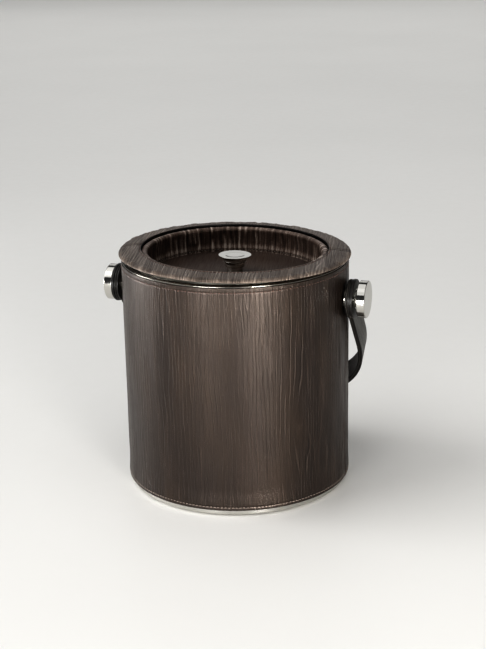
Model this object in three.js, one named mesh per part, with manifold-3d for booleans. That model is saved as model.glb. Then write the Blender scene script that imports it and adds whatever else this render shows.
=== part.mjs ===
// Insulated ice bucket: a leather-wrapped steel tub with a recessed, leather-covered lid
// and a leather strap handle that swings on two side studs.
// Units are millimetres. +Z is up, +X runs through the right-hand stud, +Y is the rear, where the
// handle hangs. The origin is the centre of the pad's underside.

import * as THREE from "three";
import { mergeVertices } from "three/addons/utils/BufferGeometryUtils.js";
import Module from "manifold-3d";

const wasm = await Module();
wasm.setup();

// ---------------------------------------------------------------- driving dimensions

const GAP = 0.3; // kept between pieces that touch
const ROUND_FACETS = 48; // facets round the body and the lid
const KNOB_FACETS = 32; // facets round knobs and the strap's round ends
const SMALL_FACETS = 24; // facets round studs, washers and screws

const BODY_R = 100; // outside of the leather wrap
const BASE_TOP = 5.5; // foot that shows below the leather
const WRAP_TOP = 204;
const LEATHER = 1.4;
const SHELL_WALL = 1.0;
const SHELL_R = BODY_R - LEATHER - 0.4; // outside of the steel shell

const FOOT_R = BODY_R - 2.2;
const FOOT_BOTTOM = 0.6;
const FOOT_WALL = 1.2;
const PAD_R = 94.6;
const PAD_THICK = 0.9;

const TUB_R = 85.6; // inside of the tub
const TUB_WALL = 0.8;
const TUB_FLOOR = 20.9; // top of the tub's floor
const RIM_R = BODY_R - 0.6;
const RIM_BOTTOM = WRAP_TOP + 0.2;
const RIM_TOP = RIM_BOTTOM + 2.4;
const FOAM_WALL = 5.3;

const SIDES = { right: 1, left: -1 }; // the studs, by the sign of their x
const PIVOT_Z = 173.3; // height of the studs that the handle turns on
const SHOULDER_R = 7.2;
const SHOULDER_START = 102.1; // distances from the bucket's axis, along a stud
const KNOB_START = 112.7;
const KNOB_END = 120;
const KNOB_R = 16.2;
const THREAD_R = 3.9;
const SEAT_WASHER_R = 10;
const INNER_WASHER_R = 9;
const NUT_R = 6.5; // over the corners

const STRAP_HANG = THREE.MathUtils.degToRad(49); // slope of the hanging loop below level
const STRAP_WIDTH = 24;
const STRAP_THICK = 4;
const STRAP_OUTER_THICK = 2;
const STRAP_HALF = 108.4; // half the loop's width over its outer faces
const STRAP_STRAIGHT = 58; // straight run from the pivot before the loop curves
const STRAP_REACH = 172; // from the pivot to the outside of the loop's far side
const STRAP_ROUNDNESS = 2.2; // exponent of the superellipse that the far side follows
const STRAP_SLACK = -1.5; // the strap's sideways place between the two knobs
const STRAP_END_R = 16.6;
const END_DISC_R = 17;
const END_DISC_THICK = 2.2;
const EYELET_R = 8.6;

const LID_R = 102.2; // outside of the lid's leather ring
const LID_Z = 208.8; // underside of that ring at the lid's centre
const LID_TILT = THREE.MathUtils.degToRad(1.05); // the lid rests slightly askew on its gasket
const LID_TILT_TOWARDS = THREE.MathUtils.degToRad(18); // the low side, round from +X
const LID_TURN = THREE.MathUtils.degToRad(12); // the ring's seams, round from +X
const RING_INNER_R = 82.5;
const RING_INNER_TOP = 4.5; // lid heights are above the underside of its ring
const RING_EDGE_WIDTH = 6.5; // its rounded edge turns down over this width
const RING_EDGE_TOP = 3.2; // where it starts to turn down
const RING_LEATHER = 0.7;
const LIP_TOP = 2.7;
const RECESS_R = 76.7;
const RECESS_LEATHER = 1.2;
const RECESS_FLOOR = -19.4;
const PAN_R = 83.9; // outside of the plug that enters the tub
const PAN_BOTTOM = -27;
const PAN_WALL = 1;

const TRAY_INNER_R = RECESS_R + RECESS_LEATHER + GAP;
const TRAY_WALL = 1.2;
const TRAY_FLOOR_TOP = RECESS_FLOOR - RECESS_LEATHER - GAP;
const TRAY_FLOOR_BOTTOM = TRAY_FLOOR_TOP - 1.5;
const LIP_R = RING_INNER_R - GAP; // outside of the recess leather's lip
const SCREW_R = 2.3;
const SCREW_WASHER = 0.8;

const SEAM_GAP = 0.3; // between two leather panels that meet

// ---------------------------------------------------------------- materials

const material = (color, roughness, metalness) =>
  new THREE.MeshStandardMaterial({ color, roughness, metalness });

const grainedLeather = material("#5a4c42", 0.5, 0);
const smoothLeather = material("#6b5b4e", 0.55, 0);
const liningLeather = material("#3a342f", 0.6, 0);
const chrome = material("#d6d6d2", 0.08, 1);
const polishedSteel = material("#c9c8c4", 0.15, 1);
const brushedSteel = material("#b4b3af", 0.35, 1);
const felt = material("#1d1c1b", 0.95, 0);
const foam = material("#e3dfd2", 0.9, 0);
const plastic = material("#2a2826", 0.5, 0);
const silicone = material("#3c3b3a", 0.6, 0);

// ---------------------------------------------------------------- shape helpers

// A closed body turned about +Z from [radius, height] points that run anticlockwise.
function turned(profile, facets = ROUND_FACETS) {
  const points = profile.map(([radius, height]) => new THREE.Vector2(radius, height));
  return new THREE.LatheGeometry(points, facets).rotateX(Math.PI / 2);
}

// A plain ring, or a tube if it is tall.
function ring(inner, outer, bottom, top, facets = ROUND_FACETS) {
  const profile = [
    [inner, bottom],
    [outer, bottom],
    [outer, top],
    [inner, top],
    [inner, bottom],
  ];
  return turned(profile, facets);
}

function disc(radius, bottom, top, facets = ROUND_FACETS) {
  const profile = [
    [0, bottom],
    [radius, bottom],
    [radius, top],
    [0, top],
  ];
  return turned(profile, facets);
}

// A rod along X, centred on the local origin.
function rodAlongX(radius, length, facets = SMALL_FACETS) {
  return new THREE.CylinderGeometry(radius, radius, length, facets).rotateZ(Math.PI / 2);
}

function toSolid(geometry) {
  const bare = geometry.clone();
  bare.deleteAttribute("normal");
  bare.deleteAttribute("uv");
  const merged = mergeVertices(bare, 1e-4);
  const mesh = new wasm.Mesh({
    numProp: 3,
    vertProperties: merged.getAttribute("position").array,
    triVerts: new Uint32Array(merged.index.array),
  });
  return new wasm.Manifold(mesh);
}

function toGeometry(solid) {
  const mesh = solid.getMesh();
  const geometry = new THREE.BufferGeometry();
  geometry.setAttribute("position", new THREE.BufferAttribute(mesh.vertProperties, 3));
  geometry.setIndex(new THREE.BufferAttribute(mesh.triVerts, 1));
  geometry.computeVertexNormals();
  return geometry;
}

function cut(geometry, ...tools) {
  const result = tools.reduce((body, tool) => body.subtract(toSolid(tool)), toSolid(geometry));
  return toGeometry(result);
}

function joined(...geometries) {
  const [first, ...others] = geometries.map(toSolid);
  return toGeometry(others.reduce((body, other) => body.add(other), first));
}

// The half of a body on one side of the plane y = 0, short of it by half a seam.
function halfOf(geometry, side) {
  const reach = 2 * LID_R;
  const block = new THREE.BoxGeometry(2 * reach, reach, 3 * reach);
  block.translate(0, side * (reach / 2 + SEAM_GAP / 2), 0);
  return toGeometry(toSolid(geometry).intersect(toSolid(block)));
}

function piece(name, geometry, finish) {
  const mesh = new THREE.Mesh(geometry, finish);
  mesh.name = name;
  return mesh;
}

// ---------------------------------------------------------------- bucket

function baseCap() {
  const spigotR = SHELL_R - SHELL_WALL - 0.4;
  const floorBottom = PAD_THICK + GAP;
  const chamfer = 0.8;
  const spigotTop = BASE_TOP + 8.5;
  return turned([
    [0, floorBottom],
    [PAD_R + 0.4, floorBottom],
    [PAD_R + 0.4, FOOT_BOTTOM],
    [FOOT_R - chamfer, FOOT_BOTTOM],
    [FOOT_R, FOOT_BOTTOM + chamfer],
    [FOOT_R, BASE_TOP - GAP],
    [spigotR, BASE_TOP - GAP],
    [spigotR, spigotTop],
    [spigotR - 1, spigotTop],
    [spigotR - 1, floorBottom + FOOT_WALL],
    [0, floorBottom + FOOT_WALL],
  ]);
}

function studHoles() {
  return rodAlongX(THREAD_R + 0.7, 2 * BODY_R + 10).translate(0, 0, PIVOT_Z);
}

function innerLiner() {
  const outer = TUB_R + TUB_WALL;
  const corner = 2;
  const flangeTop = RIM_BOTTOM - GAP;
  const flangeR = SHELL_R - SHELL_WALL - GAP;
  return turned([
    [0, TUB_FLOOR - TUB_WALL],
    [outer - corner, TUB_FLOOR - TUB_WALL],
    [outer, TUB_FLOOR - TUB_WALL + corner],
    [outer, flangeTop - TUB_WALL],
    [flangeR, flangeTop - TUB_WALL],
    [flangeR, flangeTop],
    [TUB_R, flangeTop],
    [TUB_R, TUB_FLOOR + 1.6],
    [TUB_R - 1.6, TUB_FLOOR],
    [0, TUB_FLOOR],
  ]);
}

function rimRing() {
  const round = 0.5;
  return turned([
    [TUB_R, RIM_BOTTOM],
    [RIM_R - round, RIM_BOTTOM],
    [RIM_R, RIM_BOTTOM + round],
    [RIM_R, RIM_TOP - round],
    [RIM_R - round, RIM_TOP],
    [TUB_R + round, RIM_TOP],
    [TUB_R, RIM_TOP - round],
    [TUB_R, RIM_BOTTOM],
  ]);
}

function bucket() {
  const group = new THREE.Group();
  const shell = ring(SHELL_R - SHELL_WALL, SHELL_R, BASE_TOP, WRAP_TOP - 0.1);
  const wrap = ring(BODY_R - LEATHER, BODY_R, BASE_TOP + 0.1, WRAP_TOP);
  const drilledWrap = cut(wrap, studHoles());
  const foamInner = TUB_R + TUB_WALL + GAP + 0.2;
  const foamTop = RIM_BOTTOM - GAP - TUB_WALL - GAP;
  const sleeveBottom = TUB_FLOOR - TUB_WALL;
  const floorFoamBottom = PAD_THICK + GAP + FOOT_WALL + 0.4;
  const floorFoamTop = sleeveBottom - 0.5;
  const sleeve = ring(foamInner, foamInner + FOAM_WALL, sleeveBottom, foamTop);
  group.add(
    piece("base_pad", disc(PAD_R, 0, PAD_THICK), felt),
    piece("base_cap", baseCap(), polishedSteel),
    piece("outer_shell", cut(shell, studHoles()), brushedSteel),
    piece("leather_wrap_front", halfOf(drilledWrap, -1), grainedLeather),
    piece("leather_wrap_rear", halfOf(drilledWrap, 1), grainedLeather),
    piece("inner_liner", innerLiner(), brushedSteel),
    piece("rim_ring", rimRing(), chrome),
    piece("insulation_sleeve", sleeve, foam),
    piece("insulation_disc", disc(PAD_R, floorFoamBottom, floorFoamTop), foam),
  );
  return group;
}

// ---------------------------------------------------------------- side studs

// Everything on one stud, modelled along +Z from the bucket's axis and laid over to the side.
function studSet(name, side) {
  const group = new THREE.Group();
  group.position.z = PIVOT_Z;
  group.rotation.y = (side * Math.PI) / 2;

  const threadStart = BODY_R - 7.3;
  const noseEnd = KNOB_END - 3;
  const postProfile = [
    [0, threadStart],
    [THREAD_R, threadStart],
    [THREAD_R, SHOULDER_START],
    [SHOULDER_R, SHOULDER_START],
    [SHOULDER_R, KNOB_START - GAP],
    [THREAD_R, KNOB_START - GAP],
    [THREAD_R, noseEnd],
    [0, noseEnd],
  ];
  const edge = 0.5;
  const socketR = THREAD_R + 0.4;
  const knobProfile = [
    [socketR, KNOB_START],
    [KNOB_R - edge, KNOB_START],
    [KNOB_R, KNOB_START + edge],
    [KNOB_R, KNOB_END - edge],
    [KNOB_R - edge, KNOB_END],
    [0, KNOB_END],
    [0, noseEnd + 0.4],
    [socketR, noseEnd + 0.4],
    [socketR, KNOB_START],
  ];
  const shellInside = SHELL_R - SHELL_WALL;
  const washerTop = Math.sqrt(shellInside ** 2 - INNER_WASHER_R ** 2) - GAP;
  const washerBottom = washerTop - 1;
  const nutTop = washerBottom - GAP;
  const boreR = THREAD_R + GAP;
  const nutBottom = nutTop - 1.9;
  const nut = cut(disc(NUT_R, nutBottom, nutTop, 6), disc(boreR, nutBottom - 5, nutTop + 5, SMALL_FACETS));
  const seatTop = SHOULDER_START - GAP;
  const seatWasher = ring(boreR, SEAT_WASHER_R, BODY_R + 0.4, seatTop, SMALL_FACETS);
  const innerWasher = ring(boreR, INNER_WASHER_R, washerBottom, washerTop, SMALL_FACETS);
  group.add(
    piece("stud_post_" + name, turned(postProfile, SMALL_FACETS), chrome),
    piece("side_knob_" + name, turned(knobProfile, KNOB_FACETS), chrome),
    piece("stud_seat_washer_" + name, seatWasher, polishedSteel),
    piece("stud_inner_washer_" + name, innerWasher, brushedSteel),
    piece("stud_nut_" + name, nut, brushedSteel),
  );
  return group;
}

// ---------------------------------------------------------------- strap handle

// One side of the strap's path, from the pivot to the middle of the loop, moved inwards by
// `inset` from the strap's outer face. Local x is across the loop and y is away from the pivot.
function strapSide(inset) {
  const steps = 14;
  const depth = STRAP_REACH - STRAP_STRAIGHT;
  const power = 2 / STRAP_ROUNDNESS;
  const points = [new THREE.Vector2(STRAP_HALF - inset, 0)];
  for (let i = 0; i <= steps; i++) {
    const t = (i / steps) * (Math.PI / 2);
    const across = Math.max(Math.cos(t), 0) ** power;
    const along = Math.sin(t) ** power;
    const normal = new THREE.Vector2(
      across ** (STRAP_ROUNDNESS - 1) / STRAP_HALF,
      along ** (STRAP_ROUNDNESS - 1) / depth,
    ).normalize();
    points.push(
      new THREE.Vector2(
        STRAP_HALF * across - inset * normal.x,
        STRAP_STRAIGHT + depth * along - inset * normal.y,
      ),
    );
  }
  return points;
}

function strapLayer(outerInset, innerInset) {
  const mirrored = (points) =>
    points
      .slice(0, -1)
      .reverse()
      .map((p) => new THREE.Vector2(-p.x, p.y));
  const outerSide = strapSide(outerInset);
  const innerSide = strapSide(innerInset);
  const outline = new THREE.Shape([
    ...outerSide,
    ...mirrored(outerSide),
    ...[...innerSide, ...mirrored(innerSide)].reverse(),
  ]);
  const band = new THREE.ExtrudeGeometry(outline, { depth: STRAP_WIDTH, bevelEnabled: false });
  band.translate(0, 0, -STRAP_WIDTH / 2);
  const middle = STRAP_HALF - (outerInset + innerInset) / 2;
  const ends = [1, -1].map((side) =>
    rodAlongX(STRAP_END_R, innerInset - outerInset, KNOB_FACETS).translate(side * middle, 0, 0),
  );
  const eyeletHoles = rodAlongX(EYELET_R + GAP, 3 * STRAP_HALF);
  return cut(joined(band, ...ends), eyeletHoles);
}

function handle() {
  const group = new THREE.Group();
  group.position.set(STRAP_SLACK, 0, PIVOT_Z);
  group.rotation.x = -STRAP_HANG;
  group.add(
    piece("strap_outer", strapLayer(0, STRAP_OUTER_THICK), grainedLeather),
    piece("strap_lining", strapLayer(STRAP_OUTER_THICK + 0.1, STRAP_THICK), liningLeather),
  );
  const discStart = STRAP_HALF + GAP;
  const discEnd = discStart + END_DISC_THICK;
  const eyeletStart = STRAP_HALF - STRAP_THICK;
  for (const [name, side] of Object.entries(SIDES)) {
    const end = new THREE.Group();
    end.rotation.y = (side * Math.PI) / 2;
    const endDisc = ring(EYELET_R + GAP, END_DISC_R, discStart, discEnd, KNOB_FACETS);
    const eyelet = ring(SHOULDER_R + 0.4, EYELET_R, eyeletStart, discEnd, SMALL_FACETS);
    end.add(
      piece("strap_end_disc_" + name, endDisc, grainedLeather),
      piece("strap_eyelet_" + name, eyelet, polishedSteel),
    );
    group.add(end);
  }
  return group;
}

// ---------------------------------------------------------------- lid

// The ring's rounded edge, from its lowest point up to its shoulder, `inset` inside the leather's face.
function ringEdge(inset, lowest) {
  const base = 0.35;
  const width = RING_EDGE_WIDTH - inset;
  const rise = RING_EDGE_TOP - base - inset;
  const first = Math.asin((lowest - base) / rise);
  const steps = 6;
  return Array.from({ length: steps + 1 }, (_, k) => {
    const turn = first + ((Math.PI / 2 - first) * k) / steps;
    return [LID_R - RING_EDGE_WIDTH + width * Math.cos(turn), base + rise * Math.sin(turn)];
  });
}

// Leather that covers the top of the ring, turns down over its rounded edge and is folded under it.
function ringLeather() {
  const fold = LID_R - 6;
  return turned([
    [RING_INNER_R, RING_INNER_TOP - RING_LEATHER],
    ...ringEdge(RING_LEATHER, RING_LEATHER).reverse(),
    [fold, RING_LEATHER],
    [fold, 0],
    [LID_R - 0.35, 0],
    ...ringEdge(0, 0.35),
    [RING_INNER_R, RING_INNER_TOP],
    [RING_INNER_R, RING_INNER_TOP - RING_LEATHER],
  ]);
}

function pan() {
  const plateR = LID_R - 3.6;
  const plateEdge = RING_LEATHER + 0.25;
  const corner = 2;
  const inner = PAN_R - PAN_WALL;
  return turned([
    [0, PAN_BOTTOM],
    [PAN_R - corner, PAN_BOTTOM],
    [PAN_R, PAN_BOTTOM + corner],
    [PAN_R, plateEdge + 1.4],
    [plateR, plateEdge],
    [plateR, plateEdge + PAN_WALL],
    [inner + 0.3, plateEdge + 1.5 + PAN_WALL],
    [inner, plateEdge + 1.2 + PAN_WALL],
    [inner, PAN_BOTTOM + PAN_WALL + 1.4],
    [inner - 1.4, PAN_BOTTOM + PAN_WALL],
    [0, PAN_BOTTOM + PAN_WALL],
  ]);
}

function tray() {
  const lipUnderside = LIP_TOP - 1 - GAP;
  const screwHoleR = SCREW_R + 0.5;
  return turned([
    [screwHoleR, TRAY_FLOOR_BOTTOM],
    [TRAY_INNER_R + TRAY_WALL, TRAY_FLOOR_BOTTOM],
    [TRAY_INNER_R + TRAY_WALL, lipUnderside - TRAY_WALL],
    [LIP_R, lipUnderside - TRAY_WALL],
    [LIP_R, lipUnderside],
    [TRAY_INNER_R, lipUnderside],
    [TRAY_INNER_R, TRAY_FLOOR_TOP],
    [screwHoleR, TRAY_FLOOR_TOP],
    [screwHoleR, TRAY_FLOOR_BOTTOM],
  ]);
}

// The recess wall's leather, rolled outwards over the tray's edge into a lip.
function wallLeather() {
  const outer = RECESS_R + RECESS_LEATHER;
  return turned([
    [RECESS_R, TRAY_FLOOR_TOP + GAP],
    [outer, TRAY_FLOOR_TOP + GAP],
    [outer, LIP_TOP - 1],
    [LIP_R, LIP_TOP - 1],
    [LIP_R, LIP_TOP - 0.1],
    [LIP_R - 1, LIP_TOP],
    [RECESS_R + 1, LIP_TOP],
    [RECESS_R + 0.3, LIP_TOP - 0.3],
    [RECESS_R, LIP_TOP - 1],
    [RECESS_R, TRAY_FLOOR_TOP + GAP],
  ]);
}

// Stepped knob, from the foot on the leather up to the dished finger disc.
function lidKnob() {
  const foot = RECESS_FLOOR + GAP;
  const holeR = SCREW_R + GAP;
  const holeTop = foot + 9;
  return turned(
    [
      [holeR, foot],
      [7, foot],
      [7, -13.5],
      [8.75, -13.2],
      [8.75, -8.9],
      [10.5, -8.6],
      [10.5, -4.3],
      [13.9, -3.9],
      [14.5, -3.5],
      [14.5, -3.1],
      [14.2, -2.9],
      [9.4, -2.9],
      [7.4, -3.3],
      [0, -3.4],
      [0, holeTop],
      [holeR, holeTop],
      [holeR, foot],
    ],
    KNOB_FACETS,
  );
}

function knobScrew() {
  const headTop = TRAY_FLOOR_BOTTOM - GAP - SCREW_WASHER - GAP;
  const headBottom = headTop - 1.6;
  const tip = RECESS_FLOOR + 8;
  return turned(
    [
      [0, headBottom],
      [4.5, headBottom],
      [4.5, headTop],
      [SCREW_R, headTop],
      [SCREW_R, tip],
      [0, tip],
    ],
    SMALL_FACETS,
  );
}

function lid() {
  const tilted = new THREE.Group();
  tilted.position.z = LID_Z;
  tilted.rotation.set(0, LID_TILT, LID_TILT_TOWARDS, "ZYX");
  const group = new THREE.Group();
  group.rotation.z = LID_TURN - LID_TILT_TOWARDS;
  tilted.add(group);

  const cover = ringLeather();
  const foamInner = TRAY_INNER_R + TRAY_WALL + 0.4;
  const foamOuter = PAN_R - PAN_WALL - 0.4;
  const foamBottom = PAN_BOTTOM + PAN_WALL + 0.4;
  const washerTop = TRAY_FLOOR_BOTTOM - GAP;
  const screwBore = SCREW_R + GAP;
  const floorLeather = ring(screwBore, RECESS_R - GAP, TRAY_FLOOR_TOP + GAP, RECESS_FLOOR);
  const foamRing = ring(foamInner, foamOuter, foamBottom + 1.4, -0.2);
  const foamDisc = ring(12, foamInner - 0.8, foamBottom, TRAY_FLOOR_BOTTOM - 0.4);
  const washer = ring(screwBore, 7, washerTop - SCREW_WASHER, washerTop, SMALL_FACETS);
  group.add(
    piece("lid_ring_leather_front", halfOf(cover, -1), grainedLeather),
    piece("lid_ring_leather_rear", halfOf(cover, 1), grainedLeather),
    piece("lid_pan", pan(), brushedSteel),
    piece("lid_gasket", ring(PAN_R + GAP, PAN_R + 1.2, -14, -8), silicone),
    piece("lid_tray", tray(), plastic),
    piece("lid_wall_leather", wallLeather(), grainedLeather),
    piece("lid_floor_leather", floorLeather, smoothLeather),
    piece("lid_insulation_ring", foamRing, foam),
    piece("lid_insulation_disc", foamDisc, foam),
    piece("lid_knob", lidKnob(), chrome),
    piece("lid_knob_screw", knobScrew(), brushedSteel),
    piece("lid_knob_washer", washer, brushedSteel),
  );
  return tilted;
}

// ---------------------------------------------------------------- assembly

const iceBucket = new THREE.Group();
iceBucket.add(bucket(), handle(), lid());
for (const [name, side] of Object.entries(SIDES)) iceBucket.add(studSet(name, side));

export default iceBucket;
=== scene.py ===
# Looks of a leather-wrapped ice bucket with a recessed lid and a strap handle, built round its CAD frame.
# Each part is modelled in millimetres in its own frame, and placed in metres in the row frame.
import math

import bmesh
import bpy
import numpy as np
from mathutils import Matrix, Vector


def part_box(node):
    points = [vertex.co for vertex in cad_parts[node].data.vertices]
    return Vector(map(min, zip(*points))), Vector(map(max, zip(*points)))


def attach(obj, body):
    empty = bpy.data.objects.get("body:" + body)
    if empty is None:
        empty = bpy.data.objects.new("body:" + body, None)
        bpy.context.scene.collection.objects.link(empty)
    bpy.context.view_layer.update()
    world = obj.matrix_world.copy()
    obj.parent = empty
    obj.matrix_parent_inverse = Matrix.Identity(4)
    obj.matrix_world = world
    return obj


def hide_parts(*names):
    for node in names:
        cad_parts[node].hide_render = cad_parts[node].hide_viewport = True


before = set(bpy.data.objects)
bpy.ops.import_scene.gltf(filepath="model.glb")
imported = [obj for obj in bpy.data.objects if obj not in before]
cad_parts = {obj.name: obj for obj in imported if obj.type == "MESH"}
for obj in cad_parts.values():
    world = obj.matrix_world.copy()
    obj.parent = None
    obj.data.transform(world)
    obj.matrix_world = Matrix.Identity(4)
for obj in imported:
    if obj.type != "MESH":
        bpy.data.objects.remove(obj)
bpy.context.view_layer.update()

# ---------------- driving dimensions, millimetres

MM = 0.001


def extent(node):
    """A CAD node's lowest and highest corner, in millimetres."""
    low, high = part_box(node)
    return low / MM, high / MM


WRAP_LOW, WRAP_HIGH = extent("leather_wrap_front")
BODY_R = WRAP_HIGH.x
LEATHER = 1.4
SEAM = 0.3  # gap between two leather panels
HALVES = {"front": (-math.pi, 0, -1), "rear": (0, math.pi, 1)}  # start angle, end angle and side in Y
FOOT_GAP = 0.4  # from the wrap's lower edge down to the foot
FOOT_SPIGOT_INSET = 3.4  # how far the foot's upright flange lies inside the wrap's face
TUB_R = 85.6
TUB_WALL = 0.8
PLUG_R = 83.9  # the lid's plug, which goes into the tub
PLUG_BOTTOM = -27
STUD_THREAD_R = 3.9
STUD_SHOULDER = 102.1  # where a stud's thick part starts, from the bucket's middle

PIVOT_Z = sum(corner.z for corner in extent("side_knob_right")) / 2

LID_HEIGHT = 208.8  # underside of the lid's leather ring at its centre
LID_TILT = math.radians(1.05)
LID_TILT_TOWARDS = math.radians(18)
LID_TURN = math.radians(12)
RING_R = 102.2
RING_INNER_R = 82.5
RING_INNER_TOP = 4.5  # lid heights are above the underside of its ring
RING_EDGE_WIDTH = 6.5  # its rounded edge turns down over this width
RING_EDGE_TOP = 3.2  # where it starts to turn down
LIP_TOP = 2.7  # top of the rolled leather at the recess's edge
RECESS_R = 76.7
RECESS_FLOOR = -19.4

STRAP_HANG = math.radians(49)  # below level, at the back
STRAP_SLACK = -1.5  # sideways play that the strap has taken up
STRAP_WIDTH = 24
STRAP_HALF = 108.4  # half the loop's width over its outer faces
STRAP_STRAIGHT = 58
STRAP_REACH = 172
STRAP_ROUNDNESS = 2.2  # power of the bend's curve, where 2 is an ellipse
STRAP_LAYER = 1.9
STRAP_INNER_INSET = 2.1
STRAP_END_R = 16.6
END_DISC_R = 17
EYELET_R = 8.6
POST_R = 7.2

STITCH_PITCH = 3.2
STITCH_LENGTH = 2.3

LID_PLACE = (
    Matrix.Translation((0, 0, LID_HEIGHT))
    @ Matrix.Rotation(LID_TILT_TOWARDS, 4, "Z")
    @ Matrix.Rotation(LID_TILT, 4, "Y")
    @ Matrix.Rotation(LID_TURN - LID_TILT_TOWARDS, 4, "Z")
)
HANDLE_PLACE = Matrix.Translation((STRAP_SLACK, 0, PIVOT_Z)) @ Matrix.Rotation(-STRAP_HANG, 4, "X")
SIDES = {"right": 1, "left": -1}


def stud_place(side):
    """Where a stud's own frame lies, its +Z outwards along the stud."""
    return Matrix.Translation((0, 0, PIVOT_Z)) @ Matrix.Rotation(side * math.pi / 2, 4, "Y")


# ---------------- noise and grain

LATTICE_SIZE = 256
LATTICE = np.random.default_rng(11).uniform(-1, 1, (LATTICE_SIZE, LATTICE_SIZE))


def smooth(t):
    """An S-shaped step from 0 to 1 while t goes from 0 to 1."""
    t = np.clip(t, 0, 1)
    return t * t * (3 - 2 * t)


def noise(x, y, seed=0, around=None):
    """Smooth noise from -1 to 1 on a unit lattice. `around` is its period in x, in whole cells."""
    x, y = np.broadcast_arrays(np.asarray(x, float), np.asarray(y, float))
    xi, yi = np.floor(x).astype(int), np.floor(y).astype(int)
    fx, fy = smooth(x - xi), smooth(y - yi)

    def at(i, j):
        column = (xi + i) % around if around else xi + i
        return LATTICE[(column + 37 * seed) % LATTICE_SIZE, (yi + j + 91 * seed) % LATTICE_SIZE]

    low = at(0, 0) * (1 - fx) + at(1, 0) * fx
    high = at(0, 1) * (1 - fx) + at(1, 1) * fx
    return low * (1 - fy) + high * fy


def line_set(across, along, spacing, width, seed):
    """Thin raised lines that follow `along`, from 0 between them to 1 on them, fading in and out."""
    phase = across / spacing
    near = 1 - np.abs(2 * (phase - np.floor(phase)) - 1)
    line = smooth((near - (1 - width)) / width)
    return line * smooth(0.35 + 1.3 * noise(across / 6, along / 38, seed))


def wood_grain(across, along, seed=0):
    """Embossed wood grain: height in millimetres and tone from -1, in a crease, to 1, on a ridge."""
    drift = 7.0 * noise(across / 24, along / 120, seed + 1)
    drift += 2.0 * noise(across / 8, along / 52, seed + 2)
    drift += 0.55 * noise(across / 5, along / 14, seed + 3)
    moved = across + drift
    ridges = line_set(moved, along, 4.6, 0.26, seed + 4)
    creases = line_set(moved + 0.75, along, 4.6, 0.26, seed + 4)
    between = line_set(moved + 2.1, along, 3.1, 0.34, seed + 5)
    fine = line_set(moved + 0.5 * noise(across / 3, along / 20, seed + 6), along, 1.5, 0.8, seed + 7)
    broad = noise(moved / 5, along / 80, seed + 9)
    height = 0.17 * ridges - 0.19 * creases + 0.08 * between + 0.06 * fine + 0.06 * broad
    tone = 0.95 * ridges - 1.0 * creases + 0.45 * between + 0.35 * (fine - 0.35) + 0.3 * broad
    return height, np.clip(tone, -1, 1)


# ---------------- mesh helpers


def to_place(points, place):
    """Millimetre points in a part's own frame as metres in the row frame."""
    turn = np.array(place)
    return (points @ turn[:3, :3].T + turn[:3, 3]) * MM


def add_object(name, data):
    made = bpy.data.objects.new(name, data)
    bpy.context.scene.collection.objects.link(made)
    return made


def new_piece(name, points, faces, materials, place=Matrix(), face_material=None, attributes=None):
    mesh = bpy.data.meshes.new(name)
    mesh.from_pydata(to_place(np.asarray(points, float), place).tolist(), [], [list(f) for f in faces])
    for key, values in (attributes or {}).items():
        values = np.asarray(values, np.float32)
        if values.ndim == 2:
            mesh.attributes.new(key, "FLOAT_VECTOR", "POINT").data.foreach_set("vector", values.ravel())
        else:
            mesh.attributes.new(key, "FLOAT", "POINT").data.foreach_set("value", values)
    if face_material is not None:
        mesh.polygons.foreach_set("material_index", np.asarray(face_material, np.int32))
    bm = bmesh.new()
    bm.from_mesh(mesh)
    bmesh.ops.remove_doubles(bm, verts=bm.verts, dist=1e-7)
    bmesh.ops.recalc_face_normals(bm, faces=bm.faces)
    for face in bm.faces:
        face.smooth = True
    bm.to_mesh(mesh)
    bm.free()
    for material in materials:
        mesh.materials.append(material)
    return add_object(name, mesh)


def stands_for(piece, body, slot, *nodes):
    """Makes a piece ride on a body and hide the CAD nodes that it stands for. Its slot is not used."""
    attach(piece, body)
    if nodes:
        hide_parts(*nodes)
    return piece


def rounded(corners, steps=6, support=0.06):
    """An outline of [radius, height, fillet] corners with its fillets drawn and loops beside them."""
    points = []
    count = len(corners)
    for i, corner in enumerate(corners):
        here = np.array(corner[:2], float)
        fillet = corner[2] if len(corner) > 2 else 0
        if not fillet:
            points.append(here)
            continue
        before = np.array(corners[i - 1][:2], float) - here
        after = np.array(corners[(i + 1) % count][:2], float) - here
        before_length, after_length = np.linalg.norm(before), np.linalg.norm(after)
        before, after = before / before_length, after / after_length
        start, end = here + before * fillet, here + after * fillet
        if before_length > 2 * fillet + 3 * support:
            points.append(start + before * support)
        for k in range(steps + 1):
            t = k / steps
            points.append((1 - t) ** 2 * start + 2 * t * (1 - t) * here + t * t * end)
        if after_length > 2 * fillet + 3 * support:
            points.append(end + after * support)
    return np.array(points)


def grid_faces(columns, rows, close_columns, close_rows):
    """Quads of a grid whose points are stored column by column."""
    i = np.arange(columns if close_columns else columns - 1)[:, None]
    j = np.arange(rows if close_rows else rows - 1)[None, :]
    nexti, nextj = (i + 1) % columns, (j + 1) % rows
    corners = [i * rows + j, nexti * rows + j, nexti * rows + nextj, i * rows + nextj]
    return np.stack([np.broadcast_to(c, (i.size, j.size)).ravel() for c in corners], 1)


def full_turn(count):
    """Evenly spaced angles."""
    return np.arange(count) * 2 * math.pi / count


def round_z(angle, radius, height):
    """Points round +Z from arrays of angles, radii and heights."""
    return np.stack([np.cos(angle) * radius, np.sin(angle) * radius, height], 2)


def grained(grain_at, tone):
    """The attributes that a leather reads: where it lies in its hide, and its tone there, with any painted
    light and shade.
    """
    return {"grain_at": grain_at.reshape(-1, 3), "tone_and_painted_light": tone.ravel()}


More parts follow.
